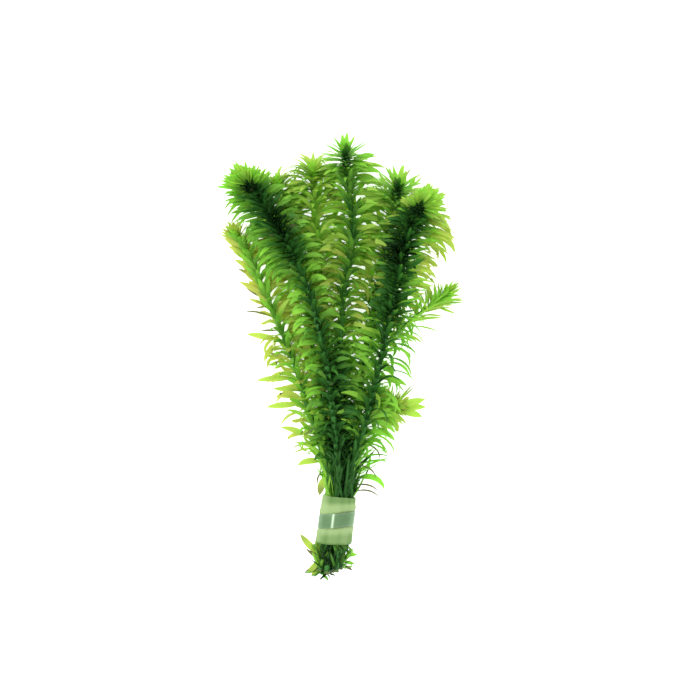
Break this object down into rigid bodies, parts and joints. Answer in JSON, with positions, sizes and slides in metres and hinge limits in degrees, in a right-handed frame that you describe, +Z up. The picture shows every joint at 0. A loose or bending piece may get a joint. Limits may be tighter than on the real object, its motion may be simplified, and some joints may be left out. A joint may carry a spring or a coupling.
{
  "type": "brazilian waterweed bunch",
  "caption": "Cut bunch of leafy Brazilian waterweed stems lying on its side, held near the cut ends by a foam wrap and a soft metal weight strip.",
  "frame": {"origin": "under the middle of the bunch, on the surface that it lies on", "axes": "+Y along the bunch from its cut ends towards its tips, +Z up from the surface, +X to the right seen from above"},
  "size_m": [0.1235, 0.2197, 0.0437],
  "materials": {
    "front_shoot": "satin, deep green leaves in thick layers",
    "back_shoot": "satin, bright yellow-green thin leaves",
    "foam_wrap": "soft pale green foam, slightly translucent",
    "weight_strip": "dull grey soft metal with a soft sheen"
  },
  "bodies": {
    "root": {"shoot_left_front": "front_shoot", "shoot_right_front": "front_shoot", "shoot_centre": "front_shoot", "shoot_left_outer": "back_shoot", "shoot_mid_right": "back_shoot", "shoot_mid_left": "back_shoot", "shoot_left_inner": "back_shoot", "side_shoot_upper": "back_shoot", "side_shoot_lower": "back_shoot", "foam_wrap": "foam_wrap", "weight_strip": "weight_strip"}
  },
  "joints": []
}
